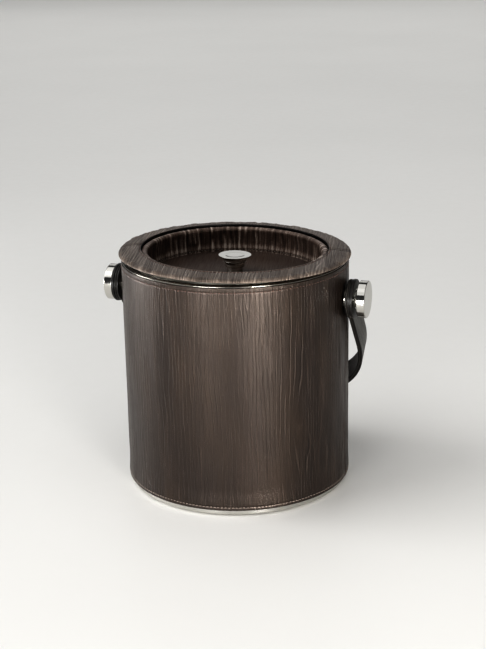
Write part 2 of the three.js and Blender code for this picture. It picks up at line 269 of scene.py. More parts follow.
def turned(profile, segments):
    """Points and faces of an outline turned about +Z, which ends on the axis or closes on itself."""
    on_axis = profile[0][0] < 1e-6 and profile[-1][0] < 1e-6
    angle = full_turn(segments)[:, None]
    points = round_z(angle, profile[:, 0], np.broadcast_to(profile[:, 1], (segments, len(profile))))
    return points.reshape(-1, 3), grid_faces(segments, len(profile), True, not on_axis)


def lathe(name, node, corners, material, body, slot, place=Matrix(), segments=192):
    """A turned piece that stands for a CAD node."""
    points, faces = turned(rounded(corners), segments)
    return stands_for(new_piece(name, points, faces, [material], place), body, slot, node)


def wrapped_sheet(name, profile, materials, place=Matrix(), closed=False, edge_rows=()):
    """Leather that follows an outline round +Z.

    profile holds its points, as (columns, rows, 3), its grain_at and its tone_and_painted_light. Rows in edge_rows
    take the second material.
    """
    points, grain_at, tone = profile
    columns, rows = points.shape[:2]
    faces = grid_faces(columns, rows, closed, True).tolist()
    column_count = columns if closed else columns - 1
    face_material = np.tile([1 if r in edge_rows else 0 for r in range(rows)], column_count)
    if not closed:
        faces += [range(rows), range((columns - 1) * rows, columns * rows)]
        face_material = np.append(face_material, [0, 0])
    points = points.reshape(-1, 3)
    return new_piece(name, points, faces, materials, place, face_material, grained(grain_at, tone))


def stitches(name, centres, alongs, outs, material, place=Matrix(), thread_r=0.33, length=STITCH_LENGTH):
    """A row of short thread stitches, each an arched capsule whose ends dive into the leather."""
    stations, sides = 7, 8
    t = np.linspace(-1, 1, stations)
    turn = full_turn(sides)
    thick = thread_r * np.sqrt(np.clip(1 - np.abs(t) ** 3.0, 0, 1)) + 1e-4
    arch = thread_r * (0.75 - 1.1 * t**2)
    along = np.asarray(alongs)[:, None, None, :]
    out = np.asarray(outs)[:, None, None, :]
    side = np.cross(alongs, outs)[:, None, None, :]
    lengthwise = (t * length / 2)[:, None]
    lift = (arch[:, None] + thick[:, None] * np.sin(turn))[None, :, :, None]
    sway = (thick[:, None] * np.cos(turn))[None, :, :, None]
    points = np.asarray(centres)[:, None, None, :] + along * lengthwise[None, :, :, None]
    points = points + out * lift + side * sway
    count = len(centres)
    size = stations * sides
    firsts = np.arange(count) * size
    faces = (grid_faces(stations, sides, False, True) + firsts[:, None, None]).reshape(-1, 4).tolist()
    for first in firsts:
        faces += [range(first, first + sides), range(first + size - sides, first + size)]
    parts = (turn * thread_r, lengthwise, np.arange(count)[:, None, None])
    grain_at = np.stack([np.broadcast_to(part, (count, stations, sides)) for part in parts], 3)
    attributes = {"grain_at": grain_at.reshape(-1, 3)}
    return new_piece(name, points.reshape(-1, 3), faces, [material], place, attributes=attributes)


def stitch_ring(name, radius, height, start, end, out, material, place=Matrix(), **shape):
    """Stitches round +Z between two angles. out is the surface's own direction as [outwards, upwards]."""
    count = max(1, round(abs(end - start) * radius / STITCH_PITCH))
    angle = start + (np.arange(count) + 0.5) * (end - start) / count
    away = np.stack([np.cos(angle), np.sin(angle), 0 * angle], 1)
    along = np.stack([-np.sin(angle), np.cos(angle), 0 * angle], 1)
    up = np.array([0.0, 0.0, 1.0])
    centres = away * radius + up * height
    return stitches(name, centres, along, away * out[0] + up * out[1], material, place, **shape)


# ---------------- materials


class Look:
    """A node material with short calls for the nodes it needs."""

    def __init__(self, name, **settings):
        self.material = bpy.data.materials.new(name)
        self.material.use_nodes = True
        self.tree = self.material.node_tree
        self.shader = self.tree.nodes["Principled BSDF"]
        for socket, value in settings.items():
            self.shader.inputs[socket.replace("_", " ")].default_value = value

    def link(self, source, socket):
        self.tree.links.new(source, socket)

    def give(self, socket, source):
        self.link(source, self.shader.inputs[socket])

    def made(self, kind, output, inputs, **settings):
        """A new node's output. Each of its inputs takes a value or another node's output."""
        node = self.tree.nodes.new("ShaderNode" + kind)
        for key, value in settings.items():
            setattr(node, key, value)
        for key, value in inputs.items():
            if isinstance(value, (int, float, tuple)):
                node.inputs[key].default_value = value
            else:
                self.link(value, node.inputs[key])
        return node.outputs[output]

    def attribute(self, name, output="Vector"):
        return self.made("Attribute", output, {}, attribute_name=name)

    def position(self):
        return self.made("TexCoord", "Object", {})

    def noise(self, vector, scale, detail=3.0, roughness=0.55):
        """Noise whose scale is one number, or one for each axis."""
        if isinstance(scale, tuple):
            vector = self.made("Mapping", "Vector", {"Vector": vector, "Scale": scale})
            scale = 1.0
        inputs = {"Vector": vector, "Scale": scale, "Detail": detail, "Roughness": roughness}
        return self.made("TexNoise", "Fac", inputs)

    def math(self, operation, *values):
        return self.made("Math", 0, dict(enumerate(values)), operation=operation)

    def spread(self, value, low, high, to_low=0.0, to_high=1.0):
        inputs = {"Value": value, "From Min": low, "From Max": high, "To Min": to_low, "To Max": to_high}
        return self.made("MapRange", "Result", inputs)

    def mix(self, factor, first, second):
        return self.made("Mix", 2, {0: factor, 6: first, 7: second}, data_type="RGBA")

    def bump(self, height, distance):
        self.give("Normal", self.made("Bump", "Normal", {"Height": height, "Distance": distance * MM}))


def srgb(red, green, blue):
    """A display colour from 0 to 255 as the linear colour that a shader takes."""

    def linear(level):
        share = level / 255
        return share / 12.92 if share < 0.0404 else ((share + 0.055) / 1.055) ** 2.4

    return (linear(red), linear(green), linear(blue), 1.0)


BROWN_SHEEN = (1.0, 0.855, 0.765, 1.0)  # the finish gives reflections the leather's own hue
PLAIN_SHEEN = (1.0, 1.0, 0.97, 1.0)


def leather(name, colours, roughness=(0.34, 0.50), relief=1.0, veins=1.0, gloss=0.45, tint=BROWN_SHEEN):
    """Finished leather: hairline veins along the grain with a painted shadow round each, pores, cross
    wrinkles and slow changes of hue.

    colours are the creases and painted shade, the body, the light ridges and painted highlights, and the
    body where its hue is warmer.
    """
    dark, body, light, warm = [srgb(*colour) for colour in colours]
    look = Look(name, Specular_IOR_Level=gloss, Specular_Tint=tint)
    at = look.attribute("grain_at")
    tone = look.attribute("tone_and_painted_light", "Fac")
    across = look.made("SeparateXYZ", "X", {0: at})
    sway = look.noise(at, (0.05, 0.011, 1), 3.0, 0.45)
    flow = look.math("MULTIPLY_ADD", sway, 3.4, look.math("MULTIPLY", across, 0.27))
    off_vein = look.math("PINGPONG", flow, 0.5)
    vein = look.spread(off_vein, 0.02, 0.13, 1.0, 0.0)
    # beside: darker round each vein, a painted shadow of the raised hairline
    beside = look.spread(off_vein, 0.12, 0.34, 1.0, 0.0)
    patches = look.noise(at, (0.045, 0.012, 1), 2.0)
    shown = look.spread(patches, 0.36, 0.64, 0.1 * veins, veins)
    vein = look.math("MULTIPLY", vein, shown)
    streaks = look.noise(at, (1.15, 0.035, 1), 4.0, 0.6)
    wrinkles = look.noise(at, (0.5, 1.7, 1), 3.0, 0.6)
    pores = look.noise(at, 2.6, 3.0, 0.6)
    hue = look.noise(at, (0.03, 0.012, 1), 2.0, 0.5)
    shade = look.math("MULTIPLY_ADD", tone, 0.34, 0.45)
    shade = look.math("ADD", shade, look.spread(streaks, 0.25, 0.75, -0.26, 0.26))
    shade = look.math("ADD", shade, look.spread(wrinkles, 0.3, 0.7, -0.14, 0.14))
    shade = look.math("MULTIPLY_ADD", vein, 0.45, shade)
    shade = look.math("MULTIPLY_ADD", look.math("MULTIPLY", beside, shown), -0.26, shade)
    coloured = look.mix(look.spread(hue, 0.35, 0.65), body, warm)
    lower = look.mix(look.spread(shade, 0.0, 0.5), dark, coloured)
    look.give("Base Color", look.mix(look.spread(shade, 0.5, 1.1), lower, light))
    sleek = look.spread(streaks, 0.3, 0.7, 0.06, -0.06)
    pitted = look.spread(pores, 0.3, 0.7, -0.05, 0.05)
    rough = look.math("ADD", sleek, pitted)
    rough = look.math("ADD", rough, look.spread(shade, 0.0, 1.0, roughness[1], roughness[0]))
    look.give("Roughness", rough)
    height = look.math("MULTIPLY_ADD", streaks, 0.55, look.math("MULTIPLY", vein, 0.7))
    height = look.math("MULTIPLY_ADD", wrinkles, 0.34, height)
    height = look.math("MULTIPLY_ADD", pores, 0.2, height)
    look.bump(height, 0.3 * relief)
    return look.material


def metal(name, colour, roughness, brushed=0.0, smudge=0.03):
    """Steel or chrome with faint polishing marks. brushed is the strength of its turned lines."""
    look = Look(name, Metallic=1.0, Base_Color=colour)
    at = look.position()
    cloud = look.noise(at, 90.0, 4.0, 0.6)
    lines = look.noise(at, (90, 90, 2600), 3.0, 0.6)
    smudges = look.spread(cloud, 0.3, 0.7, roughness - smudge, roughness + smudge)
    scratches = look.spread(lines, 0.3, 0.7, 0, brushed)
    look.give("Roughness", look.math("ADD", smudges, scratches))
    look.bump(lines, 0.004 + 0.03 * brushed)
    return look.material


def matt(name, dark, light, scale, roughness, relief, sheen=0.0):
    """Felt, foam, plastic, rubber, thread or edge paint: a fine mottle with its own relief."""
    look = Look(name, Sheen_Weight=sheen, Specular_IOR_Level=0.4)
    at = look.position()
    mottle = look.noise(at, scale, 5.0, 0.65)
    look.give("Base Color", look.mix(look.spread(mottle, 0.3, 0.7), dark, light))
    look.give("Roughness", look.spread(mottle, 0.3, 0.7, roughness + 0.08, roughness - 0.08))
    look.bump(mottle, relief)
    return look.material


def thread(name, dark, light):
    """Twisted sewing thread: slanting ply lines round each stitch."""
    look = Look(name, Sheen_Weight=0.2)
    at = look.attribute("grain_at")
    lengthwise = look.math("MULTIPLY", look.made("SeparateXYZ", "Y", {0: at}), 7.5)
    slant = look.math("MULTIPLY_ADD", look.made("SeparateXYZ", "X", {0: at}), 3.0, lengthwise)
    ply = look.math("MULTIPLY_ADD", look.math("SINE", slant), 0.5, 0.5)
    wear_and_painted_light = look.noise(look.position(), 260.0, 2.0)
    tint = look.math("MULTIPLY", ply, look.spread(wear_and_painted_light, 0.3, 0.7, 0.4, 1.0))
    look.give("Base Color", look.mix(tint, dark, light))
    look.give("Roughness", look.spread(ply, 0, 1, 0.8, 0.6))
    look.bump(ply, 0.08)
    return look.material


WRAP_COLOURS = (12, 9, 8), (29, 24, 22), (76, 66, 60), (37, 30, 25)
# The lid ring and recess wall use lighter copies of the wrap's leather, painted light; the wall's light and
# dark colours also paint highlights on its pleats and the shade between them.
LIT_RING_COLOURS = (38, 33, 31), (106, 97, 90), (182, 171, 161), (108, 97, 88)
WALL_LIGHT_AND_SHADE_COLOURS = (24, 17, 14), (98, 84, 76), (214, 200, 188), (104, 87, 77)
FLOOR_COLOURS = (42, 34, 31), (64, 54, 49), (86, 73, 66), (70, 57, 49)
STRAP_COLOURS = (14, 14, 12), (38, 37, 34), (96, 94, 87), (42, 39, 34)
LINING_COLOURS = (16, 15, 13), (28, 26, 24), (44, 41, 37), (32, 29, 26)

GRAINED = leather("grained_leather", WRAP_COLOURS, (0.25, 0.42), 0.75, gloss=0.42)
# Lighter copies of the wrap's leather: painted light.
LIT_RING_GRAINED = leather("ring_leather", LIT_RING_COLOURS)
WALL_LIGHT_AND_SHADE_GRAINED = leather("recess_leather_light_and_shade", WALL_LIGHT_AND_SHADE_COLOURS, (0.3, 0.5))
FLOOR_LEATHER = leather("floor_leather", FLOOR_COLOURS, (0.45, 0.6), 0.3, 0.2)
STRAP_LEATHER = leather("strap_leather", STRAP_COLOURS, tint=PLAIN_SHEEN)
LINING = leather("lining_leather", LINING_COLOURS, (0.5, 0.65), 0.4)
EDGE_PAINT = matt("edge_paint", srgb(8, 7, 6), srgb(24, 21, 19), 900.0, 0.42, 0.05)
RAW_EDGE = matt("raw_edge", srgb(24, 22, 19), srgb(50, 46, 40), 1400.0, 0.8, 0.08)
THREAD = thread("thread", srgb(86, 74, 66), srgb(164, 149, 137))
DARK_THREAD = thread("dark_thread", srgb(44, 26, 20), srgb(112, 78, 64))
CHROME = metal("chrome", srgb(200, 198, 193), 0.1)
FOOT_STEEL = metal("foot_steel", srgb(204, 202, 197), 0.15, 0.02)
# A darker copy of the chrome for the rim and the seat washers: painted shade.
SHADED_CHROME = metal("shaded_chrome", srgb(140, 137, 131), 0.16, 0.05)
POLISHED = metal("polished_steel", srgb(214, 212, 205), 0.17, 0.08)
BRUSHED = metal("brushed_steel", srgb(196, 194, 189), 0.26, 0.2)
FELT = matt("felt", srgb(14, 13, 12), srgb(44, 41, 38), 1500.0, 0.9, 0.25, 0.3)
FOAM = matt("foam", srgb(205, 198, 178), srgb(232, 227, 212), 700.0, 0.9, 0.3)
PLASTIC = matt("tray_plastic", srgb(26, 24, 23), srgb(40, 37, 35), 1100.0, 0.5, 0.04)
SILICONE = matt("gasket_silicone", srgb(42, 41, 40), srgb(62, 61, 59), 800.0, 0.55, 0.03)

# ---------------- bucket


def wrap_rows():
    """Heights above the wrap's lower edge, closer together at the hem and at the top stitching."""
    full = WRAP_HIGH.z - WRAP_LOW.z
    hem = np.concatenate([[0, 0.06, 0.2, 0.45], np.arange(0.8, 11, 0.42)])
    top = full - np.concatenate([np.arange(6, 0.8, -0.42), [0.6, 0.3, 0.12, 0.03]])
    middle = np.arange(hem[-1] + 1.4, top[0] - 0.8, 2.0)
    return np.concatenate([hem, middle, top, [full]])


def quarter_round(distance, radius):
    """How far a rounded edge falls back at a distance from it."""
    inside = np.clip(radius - distance, 0, radius)
    return radius - np.sqrt(radius**2 - inside**2)


HEM_BULGE = 0.6
HEM_STITCH = 3.0  # height of the hem's stitches above the wrap's lower edge
TOP_STITCH = 4.2  # depth of the top stitches below the wrap's upper edge


def furrow(distance, depth, width):
    """The groove that a row of stitches or a seam pulls into leather."""
    return -depth * np.exp(-((distance / width) ** 2))


def wrap_profile(side, angles):
    """The drum's leather: grained outside, with a flared hem, puckers and furrows, and plain behind."""
    height = wrap_rows()
    full = height[-1]
    angle = np.asarray(angles)[:, None]
    h = np.broadcast_to(height, (len(angles), len(height)))
    across = angle * BODY_R + np.zeros_like(h)
    relief, tone = wood_grain(across + 700, h + 300, 0 if side < 0 else 20)
    sewn = smooth((h - 0.5) / 3) * smooth((full - h - 0.3) / 2)
    seam_distance = np.minimum(angle - angles[0], angles[-1] - angle) * BODY_R
    hem = HEM_BULGE * smooth((19 - h) / 16)
    puckers = 0.10 * noise(across / 1.6, h / 6, 40) * smooth((8 - h) / 5)
    puckers += 0.06 * noise(across / 1.7, h / 5, 41) * smooth((h - full + 7) / 3)
    radius = BODY_R + hem + puckers + 0.85 * relief * sewn
    radius += furrow(h - HEM_STITCH, 0.3, 0.6) + furrow(h - full + TOP_STITCH, 0.14, 0.6)
    radius += furrow(seam_distance - 2.6, 0.18, 0.7)
    radius -= quarter_round(h, 0.8) + quarter_round(full - h, 0.6) + quarter_round(seam_distance, 0.7)
    inner = BODY_R - LEATHER
    back = np.array([full, full - 1.0, 1.0, 0.0])
    back_h = np.broadcast_to(back, (len(angles), len(back)))
    all_radius = np.concatenate([radius, np.full(back_h.shape, inner)], 1)
    all_height = np.concatenate([h, back_h], 1) + WRAP_LOW.z
    points = round_z(angle, all_radius, all_height)
    all_across = np.concatenate([across, np.broadcast_to(angle * BODY_R, back_h.shape)], 1)
    grain_at = np.stack([all_across, all_height, 0 * all_height + side], 2)
    wear_and_painted_light = tone * sewn
    # Painted shade: darker in the hem stitches' furrow and on the rounded lower edge, which turns under.
    wear_and_painted_light = wear_and_painted_light - 0.5 * np.exp(-((h - HEM_STITCH) / 0.8) ** 2) - 0.6 * smooth((1.2 - h) / 1.2)
    return points, grain_at, np.concatenate([wear_and_painted_light, 0 * back_h - 0.5], 1)


def seam_angles(radius, start, end, step):
    """Angles from one seam to the next, `step` apart along the arc and closer at both seams."""
    half = SEAM / 2 / radius
    near = np.array([0, 0.05, 0.15, 0.3, 0.5, 0.75]) / radius
    count = round((end - start) * radius / step)
    middle = np.linspace(start + half + 1.1 / radius, end - half - 1.1 / radius, count)
    return np.concatenate([start + half + near, middle, (end - half - near)[::-1]])


def build_wrap():
    for name, (start, end, side) in HALVES.items():
        angles = seam_angles(BODY_R, start, end, 0.52)
        wrap = wrapped_sheet("wrap_" + name, wrap_profile(side, angles), [GRAINED])
        stands_for(wrap, "bucket", "leather_grained", "leather_wrap_" + name)
        margin = 3 / BODY_R
        rows = {
            "hem": (BODY_R + HEM_BULGE - 0.28, WRAP_LOW.z + HEM_STITCH, THREAD),
            "top": (BODY_R - 0.2, WRAP_HIGH.z - TOP_STITCH, DARK_THREAD),
        }
        for row, (radius, height, material) in rows.items():
            row_name = f"{row}_stitches_{name}"
            sewn = stitch_ring(row_name, radius, height, start + margin, end - margin, (1, 0), material)
            stands_for(sewn, "bucket", "leather_grained")


def build_metal():
    low, high = extent("rim_ring")
    rim = [
        (TUB_R, low.z, 0.3),
        (high.x, low.z, 0.2),
        (high.x, low.z + 0.65, 0.25),
        (high.x - 1.6, high.z - 0.25, 0.3),
        (TUB_R, high.z, 0.9),
    ]
    # The rim takes the darker chrome, painted shade under the lid.
    lathe("rim", "rim_ring", rim, SHADED_CHROME, "bucket", "chrome", segments=256)

    low, high = extent("base_cap")
    foot_top = WRAP_LOW.z - FOOT_GAP
    spigot = BODY_R - FOOT_SPIGOT_INSET
    pad = extent("base_pad")[1]
    under, above = pad.z + 0.3, pad.z + 1.5
    cap = [
        (0, under),
        (pad.x + 0.4, under, 0.2),
        (pad.x + 0.4, low.z, 0.3),
        (high.x, low.z, 1.1),
        (high.x, foot_top, 0.3),
        (spigot, foot_top),
        (spigot, high.z, 0.3),
        (spigot - 1, high.z, 0.3),
        (spigot - 1, above),
        (0, above),
    ]
    lathe("foot", "base_cap", cap, FOOT_STEEL, "bucket", "polished_steel", segments=256)
    felt = [(0, 0), (pad.x, 0, 0.35), (pad.x, pad.z, 0.3), (0, pad.z)]
    lathe("foot_pad", "base_pad", felt, FELT, "bucket", "felt")

    low, high = extent("inner_liner")
    tub = [
        (0, low.z),
        (TUB_R + TUB_WALL, low.z, 4),
        (TUB_R + TUB_WALL, high.z - TUB_WALL, 0.4),
        (high.x, high.z - TUB_WALL, 0.2),
        (high.x, high.z, 0.2),
        (TUB_R, high.z, 0.3),
        (TUB_R, low.z + TUB_WALL, 4),
        (0, low.z + TUB_WALL),
    ]
    lathe("tub", "inner_liner", tub, BRUSHED, "bucket", "brushed_steel", segments=256)


# ---------------- side studs


def stud_extent(node):
    """Where a part on a stud starts and ends, from the bucket's middle, and its radius."""
    low, high = extent(node)
    start, end = sorted((abs(low.x), abs(high.x)))
    return start, end, (high.z - low.z) / 2


def build_studs():
    """Both studs, each with its washer and its end knob, turned about its own +Z."""
    for name, side in SIDES.items():
        place = stud_place(side)
        start, end, radius = stud_extent("side_knob_" + name)
        knob = [(0, start), (radius, start, 0.6), (radius, end, 0.8), (0, end)]
        lathe("knob_" + name, "side_knob_" + name, knob, CHROME, "bucket", "chrome", place)
        post_start = stud_extent("stud_post_" + name)[0]
        post_end = start - 0.05
        post = [
            (0, post_start),
            (STUD_THREAD_R, post_start, 0.4),
            (STUD_THREAD_R, STUD_SHOULDER),
            (POST_R, STUD_SHOULDER, 0.3),
            (POST_R, post_end, 0.3),
            (0, post_end),
        ]
        lathe("post_" + name, "stud_post_" + name, post, CHROME, "bucket", "chrome", place, 96)
        inside, outside, radius = stud_extent("stud_seat_washer_" + name)
        hole = STUD_THREAD_R + 0.3
        washer = [(hole, inside), (radius, inside, 0.25), (radius, outside, 0.5), (hole, outside, 0.2)]
        washer_name = "seat_washer_" + name
        # The washer takes the darker chrome, painted shade.
        lathe(washer_name, "stud_" + washer_name, washer, SHADED_CHROME, "bucket", "polished_steel", place, 96)


# ---------------- lid


def outline_normals(outline):
    """Outward unit normals of a closed outline that runs clockwise seen with the axis on the left."""

    def units(steps):
        return steps / np.maximum(np.linalg.norm(steps, axis=1)[:, None], 1e-9)

    tangent = units(np.roll(outline, -1, 0) - outline) + units(outline - np.roll(outline, 1, 0))
    tangent = units(tangent)
    return np.stack([-tangent[:, 1], tangent[:, 0]], 1)


RING_STITCH_R = RING_INNER_R + 1.5


def ring_edge(inset, lowest, steps):
    """The ring's rounded edge from its shoulder down to its lowest point, `inset` inside the face."""
    base = 0.35
    width, rise = RING_EDGE_WIDTH - inset, RING_EDGE_TOP - base - inset
    turn = np.linspace(math.pi / 2, math.asin((lowest - base) / rise), steps)
    return np.stack([RING_R - RING_EDGE_WIDTH + width * np.cos(turn), base + rise * np.sin(turn)], 1)


def ring_outline():
    """The ring leather's section: over the top from the inner edge, round the outside and folded under.

    Gives the outline, how many of its points show, and its rows with painted edges.
    """
    thick = 0.75
    inner_r = RING_INNER_R + 0.35
    edge = ring_edge(0, 0.35, 20)
    inner, shoulder = np.array([inner_r, RING_INNER_TOP]), edge[0]
    top = inner + (shoulder - inner) * np.linspace(0, 1, 22)[:-1, None]
    fold = RING_R - 6
    under = np.array(
        [[RING_R - 0.12, 0.1], [RING_R - 0.4, 0], [RING_R - 3, 0], [fold, 0.05], [fold, thick]]
    )
    lining = ring_edge(thick, thick, 8)[::-1]
    inside = np.array(
        [
            [inner_r, RING_INNER_TOP - thick],
            [inner_r, LIP_TOP - 1.4],
            [RING_INNER_R, LIP_TOP - 1.4],
            [RING_INNER_R, RING_INNER_TOP - 0.35],
            [RING_INNER_R + 0.1, RING_INNER_TOP - 0.08],
        ]
    )
    outline = np.concatenate([top, edge, under, lining, inside])
    painted = range(len(outline) - 5, len(outline))
    return outline, len(top) + len(edge), painted


def ring_profile(side, angles):
    """The lid ring's leather: its grain, tucks at its edge with a painted highlight on them, a stitched lip
    and its seams.
    """
    outline, covered = ring_outline()[:2]
    normals = outline_normals(outline)
    mask = np.zeros(len(outline))
    mask[:covered] = 1
    mask[0] = 0.3
    angle = np.asarray(angles)[:, None]
    radius = outline[:, 0] + 0 * angle
    height = outline[:, 1] + 0 * angle
    x, y = np.cos(angle) * radius, np.sin(angle) * radius
    relief, tone = wood_grain(x * 1.15 + 240, y * 0.9 + 500, 50 if side < 0 else 60)
    arc = angle * RING_R
    near_edge = smooth((radius - RING_R + 9) / 7)
    near_lip = smooth((RING_INNER_R + 5 - radius) / 4)
    lumps = 0.36 * noise(arc / 4.6, radius / 9, 70) + 0.16 * noise(arc / 2.4, radius / 7, 71)
    tucks = 0.12 * noise(arc / 1.8, radius / 5, 72)
    hatch = line_set(x + 0.8 * noise(x / 6, y / 9, 74), y, 2.8, 0.8, 75)
    away = relief + (lumps + tucks) * near_edge
    away += 0.10 * noise(arc / 2.2, 0 * arc, 73) * near_lip
    away += 0.12 * hatch
    seam_distance = np.minimum(angle - angles[0], angles[-1] - angle) * radius
    if side > 0:  # the rear half's seam allowance is pressed flat beside the seam
        away += furrow(seam_distance - 4.6, 0.4, 0.55)
    away += furrow(radius - RING_STITCH_R, 0.22, 0.5)
    away = np.minimum(away - 0.38, 0) - quarter_round(seam_distance, 0.8)
    radius = radius + away * mask * normals[:, 0]
    height = height + away * mask * normals[:, 1]
    radius = np.minimum(radius, RING_R - 0.05)
    points = round_z(angle, radius, height)
    grain_at = np.stack([x * 1.15, y * 0.9, 0 * x + 3 + side], 2)
    # Painted highlight: lighter where the lumps and tucks at the outer edge bulge; the grain, the hatching
    # and the darker seam are the leather's own.
    wear_and_painted_light = 0.8 * tone + 0.8 * (hatch - 0.4) + 1.1 * (lumps + tucks) * near_edge
    return points, grain_at, wear_and_painted_light - 0.5 * np.exp(-(seam_distance / 0.8) ** 2)


WALL_STITCH_Z = RECESS_FLOOR + 1.5
LONG_PLEATS = 96  # ridges round the recess wall
SHORT_PLEATS = 150  # smaller ones along its foot


def wall_outline():
    """The recess leather's section: up over a soft roll and down the hollow wall to the floor."""
    roll_r, roll_z, roll = 79.6, -0.4, 3.0
    turn = np.linspace(-0.15, math.pi, 26)
    over = np.stack([roll_r + 0.87 * roll * np.cos(turn), roll_z + roll * np.sin(turn)], 1)
    over[turn > math.pi / 2, 0] = roll_r + roll * np.cos(turn[turn > math.pi / 2])
    heights = np.linspace(roll_z - 0.5, RECESS_FLOOR - 0.9, 40)
    hollow_depths = [-roll_z, 3.5, 8, 12, 15.5, 18, 20.5]
    hollow_radii = [76.6, 76.95, 77.15, 76.95, 76.45, 76.0, 75.8]
    radii = np.interp(-heights, hollow_depths, hollow_radii)
    down = np.stack([radii, heights], 1)
    back = RECESS_R + 1.2
    behind = np.array([[back, RECESS_FLOOR - 0.9], [back, roll_z - 1.5], [back + 1.2, roll_z + 0.6]])
    return np.concatenate([over, down, behind]), len(over) + len(down)


def pleats(phase, height, cells, width, seed):
    """One upright ridge in each cell round the wall, each with its own strength, place and reach."""
    cell = np.floor(phase).astype(int) % cells
    reach = noise(cell * 3.7, height / 7, seed + 1)
    strength = smooth(0.75 + 0.6 * LATTICE[cell, seed]) * smooth(0.8 + 0.9 * reach)
    middle = 0.5 + 0.2 * LATTICE[cell, seed + 40]
    return strength * np.exp(-(((phase - np.floor(phase) - middle) / width) ** 2))


def wall_profile(angles):
    """The recess wall's leather, gathered into upright pleats, with a sewn line near the floor and painted
    light and shade in its tone.
    """
    outline, covered = wall_outline()
    normals = -outline_normals(outline)
    mask = np.zeros(len(outline))
    mask[1:covered] = 1
    angle = np.asarray(angles)[:, None]
    radius = outline[:, 0] + 0 * angle
    height = outline[:, 1] + 0 * angle
    turn = angle / (2 * math.pi)
    lean = 0.5 * noise(turn * 40, height / 12, 80, 40)
    sharp = pleats(turn * LONG_PLEATS + 0.6 * lean, height, LONG_PLEATS, 0.27, 81)
    short = pleats(turn * SHORT_PLEATS + 0.4 * lean, height, SHORT_PLEATS, 0.22, 86)
    gathers = noise(turn * 190 + lean, height / 30, 82, 190)
    fine = noise(turn * 420 + lean, height / 9, 83, 420)
    where = 0.5 + 0.5 * smooth(0.5 + 1.2 * noise(turn * 7, 0 * turn, 84, 7))
    down_wall = smooth((LIP_TOP - height) / 4)
    low_wall = smooth((-11.5 - height) / 4)
    away = where * (0.8 * sharp + 0.22 * gathers) * (0.25 + 0.75 * down_wall) + 0.06 * fine
    away = away + 0.35 * short * low_wall
    away = away + furrow(height - WALL_STITCH_Z, 0.3, 0.6)
    radius_out = radius + away * mask * normals[:, 0]
    height_out = height + away * mask * normals[:, 1]
    points = round_z(angle, radius_out, height_out)
    grain_at = np.stack([angle * RECESS_R + 0 * height, height, 0 * height + 7], 2)
    # Painted light and shade: highlights on the pleats, shade between them, down the upper wall and in the
    # stitches' furrow, and light on the lower wall.
    shadowed = down_wall * (1 - low_wall)
    tone = (1.7 * sharp + 0.45 * gathers) * where - 0.15 - 0.5 * shadowed + (0.3 + 0.6 * short) * low_wall
    tone = np.clip(tone, -1.2, 1.3) - 1.6 * np.exp(-(((height - WALL_STITCH_Z) / 0.7) ** 2))
    return points, grain_at, tone


def build_lid_leather():
    painted = ring_outline()[2]
    materials = [LIT_RING_GRAINED, EDGE_PAINT]
    for name, (start, end, side) in HALVES.items():
        angles = seam_angles(RING_R, start, end, 0.55)
        profile = ring_profile(side, angles)
        ring = wrapped_sheet("lid_ring_" + name, profile, materials, LID_PLACE, edge_rows=painted)
        stands_for(ring, "lid", "leather_grained", "lid_ring_leather_" + name)
        margin = 1.2 / RING_INNER_R
        slope = (RING_INNER_TOP - RING_EDGE_TOP) / (RING_R - RING_EDGE_WIDTH - RING_INNER_R)
        height = RING_INNER_TOP - slope * (RING_STITCH_R - RING_INNER_R) - 0.55
        sewn = stitch_ring(
            "ring_stitches_" + name, RING_STITCH_R, height, start + margin, end - margin, (0, 1),
            DARK_THREAD, LID_PLACE, thread_r=0.3,
        )
        stands_for(sewn, "lid", "leather_grained")

    profile = wall_profile(full_turn(900))
    wall = wrapped_sheet("recess_wall", profile, [WALL_LIGHT_AND_SHADE_GRAINED], LID_PLACE, True)
    stands_for(wall, "lid", "leather_grained", "lid_wall_leather")
    wall_stitches = stitch_ring(
        "recess_stitches", RECESS_R - 0.85, WALL_STITCH_Z, 0, 2 * math.pi, (-1, 0),
        THREAD, LID_PLACE, thread_r=0.42,
    )
    stands_for(wall_stitches, "lid", "leather_grained")


def build_lid_knob():
    """The stepped chrome knob: a foot, a barrel, two collars and a dished disc on top."""
    knob = [
        (0, RECESS_FLOOR + 0.02),
        (6.7, RECESS_FLOOR + 0.02, 0.3),
        (7.0, -16.4, 2.4),
        (6.7, -13.4, 0.25),
        (8.45, -13.4, 0.35),
        (8.8, -11.1, 1.9),
        (8.35, -8.75, 0.3),
        (10.1, -8.75, 0.4),
        (10.6, -6.5, 1.9),
        (10.1, -4.25, 0.25),
        (13.6, -3.85, 0.6),
        (14.5, -3.45, 0.2),
        (14.5, -2.9, 0.25),
        (9.3, -2.9, 0.8),
        (7.2, -3.25, 0.8),
        (0, -3.3),
    ]
    lathe("lid_finger_knob", "lid_knob", knob, CHROME, "lid", "chrome", LID_PLACE, 160)


